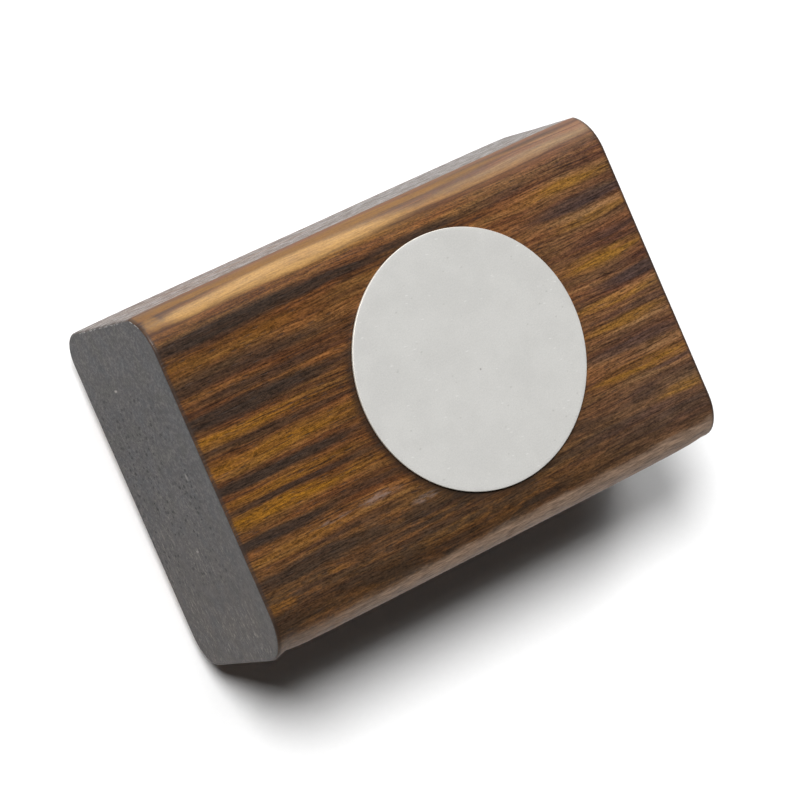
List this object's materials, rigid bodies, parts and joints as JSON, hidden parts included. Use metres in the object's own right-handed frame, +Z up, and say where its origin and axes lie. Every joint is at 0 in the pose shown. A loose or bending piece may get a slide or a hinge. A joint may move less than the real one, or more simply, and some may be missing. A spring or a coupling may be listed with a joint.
{
  "type": "leather strop",
  "caption": "Palm-sized strop: a striped hardwood block with rounded long edges, strop leather bonded below and a thin round metal plate above.",
  "frame": {"origin": "centre of the strop leather's resting face, at the bottom", "axes": "+X along the block's length and grain, towards the end that the plate is nearer to; +Y across its width; +Z up, out of the plate's face"},
  "size_m": [0.0786, 0.0516, 0.0325],
  "materials": {
    "hardwood": "oiled, satin, brown with near-black and golden stripes along the length",
    "leather": "vegetable-tanned, matte, lightly burnished by use",
    "glue": "dried contact cement, amber",
    "tape": "white double-sided tape, matte",
    "plate_metal": "matte, fine-grained, light grey"
  },
  "bodies": {
    "root": {"wood_block": "hardwood", "strop_leather": "leather", "leather_glue_sheet": "glue", "plate_tape": "tape", "round_plate": "plate_metal"}
  },
  "joints": []
}
